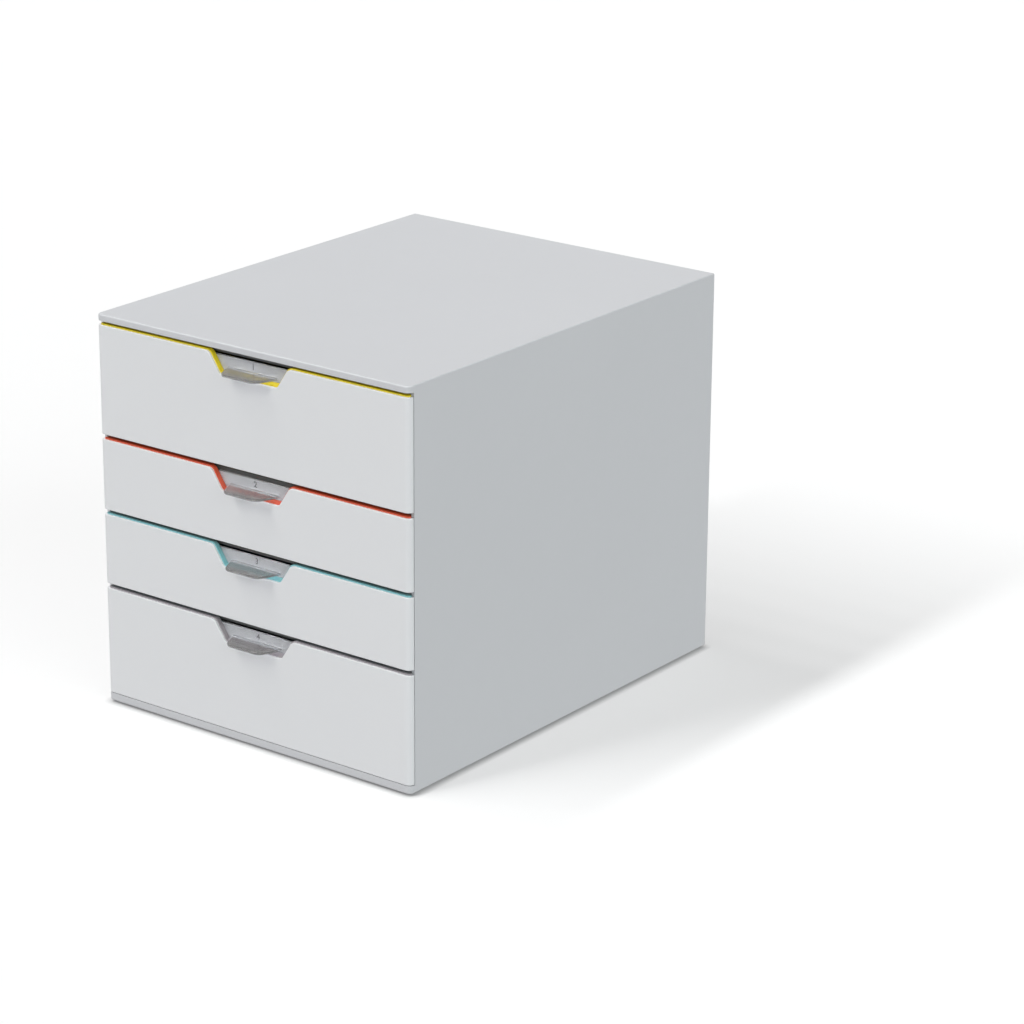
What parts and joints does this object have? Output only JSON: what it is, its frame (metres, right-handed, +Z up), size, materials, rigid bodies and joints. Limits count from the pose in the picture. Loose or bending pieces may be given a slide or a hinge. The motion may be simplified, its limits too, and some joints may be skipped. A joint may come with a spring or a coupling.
{
  "type": "desktop drawer tower",
  "caption": "Plastic desktop tower of pull-out trays in a closed housing, with notched white fronts over coloured frames, label windows and clear finger lips.",
  "frame": {"origin": "bottom centre of the whole outline, finger lips included, on the surface it stands on", "axes": "+Z up, drawers open towards -Y, +X to the right seen from the front"},
  "size_m": [0.28, 0.3678, 0.292],
  "materials": {
    "housing": "fine satin grain, light grey",
    "inner_housing": "matt, mid grey",
    "back": "matt, mid grey",
    "runner": "matt, mid grey",
    "foot": "soft black rubber",
    "tray": "matt anthracite",
    "panel": "smooth satin white",
    "frame_1": "satin yellow",
    "frame_2": "satin red-orange",
    "frame_3": "satin turquoise",
    "frame_4": "satin grey-mauve",
    "window": "clear plastic, lightly smoked",
    "label": "card, stands in for paper"
  },
  "bodies": {
    "housing": {"housing_cover": "housing", "base_plate": "inner_housing", "back_panel": "back", "left_runner": "runner", "right_runner": "runner", "front_left_foot": "foot", "front_right_foot": "foot", "rear_left_foot": "foot", "rear_right_foot": "foot"},
    "drawer_1": {"drawer_1_tray": "tray", "drawer_1_frame": "frame_1", "drawer_1_panel": "panel", "drawer_1_window": "window", "drawer_1_label": "label"},
    "drawer_2": {"drawer_2_tray": "tray", "drawer_2_frame": "frame_2", "drawer_2_panel": "panel", "drawer_2_window": "window", "drawer_2_label": "label"},
    "drawer_3": {"drawer_3_tray": "tray", "drawer_3_frame": "frame_3", "drawer_3_panel": "panel", "drawer_3_window": "window", "drawer_3_label": "label"},
    "drawer_4": {"drawer_4_tray": "tray", "drawer_4_frame": "frame_4", "drawer_4_panel": "panel", "drawer_4_window": "window", "drawer_4_label": "label"}
  },
  "joints": [
    {"name": "drawer_1_slide", "type": "slide", "parent": "housing", "child": "drawer_1", "axis": [0, -1, 0], "range_m": [0, 0.25]},
    {"name": "drawer_2_slide", "type": "slide", "parent": "housing", "child": "drawer_2", "axis": [0, -1, 0], "range_m": [0, 0.25]},
    {"name": "drawer_3_slide", "type": "slide", "parent": "housing", "child": "drawer_3", "axis": [0, -1, 0], "range_m": [0, 0.25]},
    {"name": "drawer_4_slide", "type": "slide", "parent": "housing", "child": "drawer_4", "axis": [0, -1, 0], "range_m": [0, 0.25]}
  ]
}
